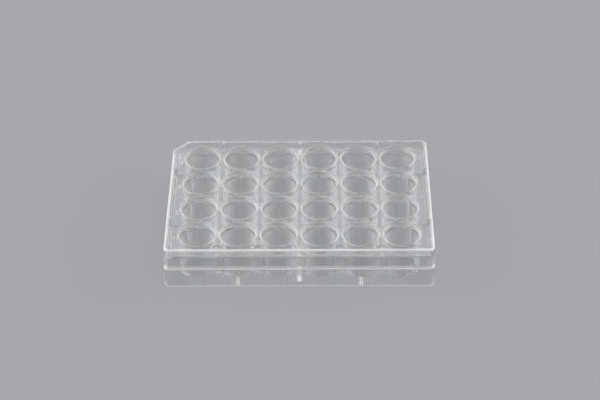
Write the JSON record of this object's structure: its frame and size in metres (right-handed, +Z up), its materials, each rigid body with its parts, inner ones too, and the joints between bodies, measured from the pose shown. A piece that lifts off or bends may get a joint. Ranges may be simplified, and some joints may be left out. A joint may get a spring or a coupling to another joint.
{
  "type": "well plate",
  "caption": "Clear moulded culture plate with a grid of tapered round wells, a stepped ribbed skirt and a loose lid with a ring over each well",
  "frame": {"origin": "centre of the footprint, on the surface that the plate stands on", "axes": "+X along the long side from column 1 to column 6, +Y from row D at the front to row A at the back, +Z up"},
  "size_m": [0.1278, 0.0854, 0.022],
  "materials": {
    "plate": "clear moulded polystyrene, polished",
    "lid": "clear moulded polystyrene, polished"
  },
  "bodies": {
    "root": {"plate": "plate", "lid": "lid"}
  },
  "joints": []
}
